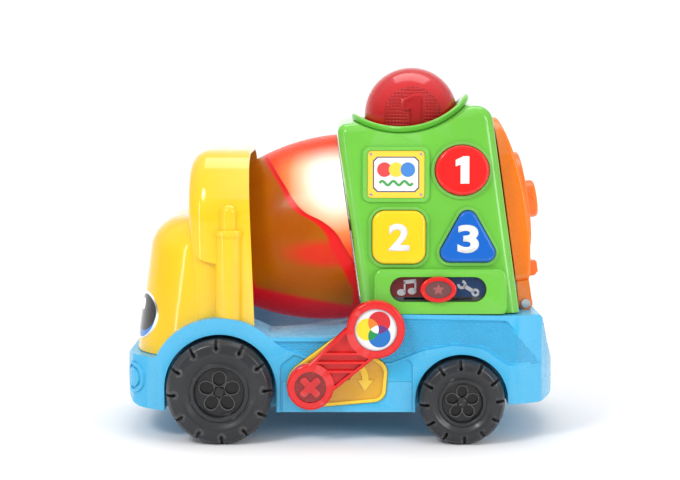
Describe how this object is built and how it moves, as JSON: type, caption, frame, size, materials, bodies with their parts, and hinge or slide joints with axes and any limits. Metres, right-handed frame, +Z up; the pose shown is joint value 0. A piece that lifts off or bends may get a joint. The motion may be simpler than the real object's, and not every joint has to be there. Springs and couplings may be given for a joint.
{
  "type": "toy cement mixer",
  "caption": "Toddler's toy cement mixer truck with a turning translucent drum, a leaning tower with shaped buttons, a ball hopper and rear hatch, and a side lever.",
  "frame": {"origin": "on the ground, at the centre of the truck's length and width", "axes": "+X towards the rear hatch, -X towards the cab, +Y towards the speaker side, -Y towards the lever and button side, +Z up"},
  "size_m": [0.283, 0.1678, 0.2369],
  "materials": {
    "yellow_plastic": "moulded yellow plastic, softly glossy",
    "blue_plastic": "moulded sky-blue plastic, softly glossy",
    "green_plastic": "moulded green plastic, softly glossy",
    "orange_plastic": "moulded orange plastic, softly glossy",
    "red_plastic": "moulded red plastic, glossy",
    "red_clear": "translucent red plastic, lit from inside",
    "button_yellow": "glossy yellow plastic",
    "button_blue": "glossy blue plastic",
    "tyre_plastic": "charcoal hard plastic with a soft sheen",
    "white_plastic": "white moulded plastic",
    "dark_plastic": "dark plastic",
    "sticker": "printed film",
    "steel": "plated steel wire and screws",
    "rubber": "grey silicone rubber",
    "board_green": "green circuit board laminate"
  },
  "bodies": {
    "root": {"chassis_upper": "blue_plastic", "chassis_base": "blue_plastic", "battery_box": "blue_plastic", "battery_door": "blue_plastic", "batteries": "dark_plastic", "battery_contacts": "steel", "cab_shell": "yellow_plastic", "cab_bulkhead": "yellow_plastic", "eye_left": "sticker", "eye_right": "sticker", "tower_left_shell": "green_plastic", "tower_right_shell": "green_plastic", "hopper_collar": "green_plastic", "ball_gate": "rubber", "ball_chute": "white_plastic", "circuit_board": "board_green", "keypad": "rubber", "label_plate": "sticker", "slider_plate": "sticker", "slide_switch": "dark_plastic", "speaker": "dark_plastic", "led_board": "board_green", "lever_plate": "yellow_plastic", "lever_spring": "steel", "hatch_pin": "steel", "base_screws": "steel", "door_screw": "steel", "tower_screws": "steel"},
    "front_wheels": {"front_axle": "steel", "wheel_front_left": "tyre_plastic", "wheel_front_right": "tyre_plastic"},
    "rear_wheels": {"rear_axle": "steel", "wheel_rear_left": "tyre_plastic", "wheel_rear_right": "tyre_plastic"},
    "drum": {"drum_shell": "red_clear", "drum_front_cap": "red_plastic", "drum_rear_disc": "white_plastic", "drum_shaft": "steel", "drum_vane": "white_plastic"},
    "ball": {"ball_red": "red_plastic"},
    "lever": {"lever_arm": "red_plastic", "lever_cap": "red_plastic", "lever_disc": "sticker", "lever_shaft": "steel"},
    "hatch": {"hatch_door": "orange_plastic", "hatch_knob": "orange_plastic"},
    "button_one": {"button_round": "red_plastic"},
    "button_two": {"button_square": "button_yellow"},
    "button_three": {"button_triangle": "button_blue"},
    "mode_slider": {"slider_knob": "red_plastic", "slider_window": "red_clear"}
  },
  "joints": [
    {"name": "front_axle_roll", "type": "hinge", "parent": "root", "child": "front_wheels", "pos_m": [-0.076, 0, 0.0335], "axis": [0, 1, 0], "continuous": true},
    {"name": "rear_axle_roll", "type": "hinge", "parent": "root", "child": "rear_wheels", "pos_m": [0.077, 0, 0.027], "axis": [0, 1, 0], "continuous": true},
    {"name": "drum_spin", "type": "hinge", "parent": "root", "child": "drum", "pos_m": [0, 0, 0.1309], "axis": [0.9903, 0, 0.1392], "continuous": true},
    {"name": "lever_press", "type": "hinge", "parent": "root", "child": "lever", "pos_m": [-0.0186, 0, 0.0374], "axis": [0, 1, 0], "range_deg": [0, 28], "stiffness_Nm_per_rad": 0.05, "springref_deg": -20.05},
    {"name": "hatch_open", "type": "hinge", "parent": "root", "child": "hatch", "pos_m": [0.12025, 0, 0.08504], "axis": [0, 1, 0], "range_deg": [0, 95]},
    {"name": "button_one_press", "type": "slide", "parent": "root", "child": "button_one", "axis": [0, 0.9976, -0.0698], "range_m": [0, 0.003], "stiffness_N_per_m": 250, "springref_m": -0.001},
    {"name": "button_two_press", "type": "slide", "parent": "root", "child": "button_two", "axis": [0, 0.9976, -0.0698], "range_m": [0, 0.003], "stiffness_N_per_m": 250, "springref_m": -0.001},
    {"name": "button_three_press", "type": "slide", "parent": "root", "child": "button_three", "axis": [0, 0.9976, -0.0698], "range_m": [0, 0.003], "stiffness_N_per_m": 250, "springref_m": -0.001},
    {"name": "mode_slide", "type": "slide", "parent": "root", "child": "mode_slider", "axis": [1, 0, 0], "range_m": [-0.018, 0.018]},
    {"name": "ball_lift", "type": "slide", "parent": "root", "child": "ball", "axis": [-0.1392, 0, 0.9903], "range_m": [0, 0.09]}
  ]
}
